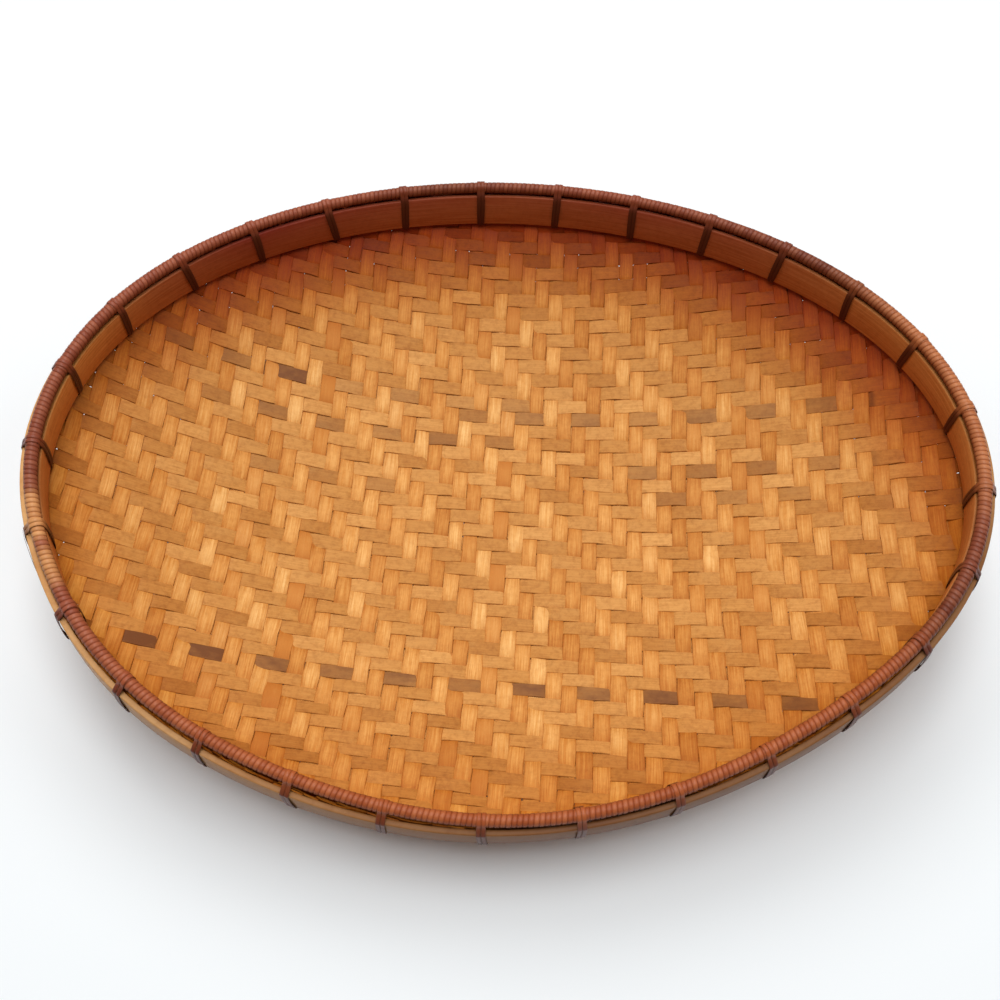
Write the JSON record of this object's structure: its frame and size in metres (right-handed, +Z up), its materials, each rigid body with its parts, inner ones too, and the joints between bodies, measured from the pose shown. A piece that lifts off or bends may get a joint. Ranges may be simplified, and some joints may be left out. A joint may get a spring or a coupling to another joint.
{
  "type": "woven bamboo basket",
  "caption": "Shallow oval basket woven from flat bamboo splints, with a hooped rim, a cane-wrapped edge rod and cane lashings, for serving or keeping small things.",
  "frame": {"origin": "on the plane that the basket stands on, under the middle of its outline", "axes": "+X along the basket's length, +Y across it, +Z up"},
  "size_m": [0.4516, 0.344, 0.0875],
  "materials": {
    "splint": "satin",
    "inner_hoop": "satin",
    "outer_hoop": "satin",
    "rod": "matte",
    "wrap": "satin",
    "lashing": "satin"
  },
  "bodies": {
    "root": {"woven_mat": "splint", "inner_hoop": "inner_hoop", "outer_hoop": "outer_hoop", "rim_rod": "rod", "rim_wrap": "wrap", "lashing_01": "lashing", "lashing_02": "lashing", "lashing_03": "lashing", "lashing_04": "lashing", "lashing_05": "lashing", "lashing_06": "lashing", "lashing_07": "lashing", "lashing_08": "lashing", "lashing_09": "lashing", "lashing_10": "lashing", "lashing_11": "lashing", "lashing_12": "lashing", "lashing_13": "lashing", "lashing_14": "lashing", "lashing_15": "lashing", "lashing_16": "lashing", "lashing_17": "lashing", "lashing_18": "lashing", "lashing_19": "lashing", "lashing_20": "lashing", "lashing_21": "lashing", "lashing_22": "lashing", "lashing_23": "lashing", "lashing_24": "lashing", "lashing_25": "lashing", "lashing_26": "lashing", "lashing_27": "lashing", "lashing_28": "lashing", "lashing_29": "lashing"}
  },
  "joints": []
}
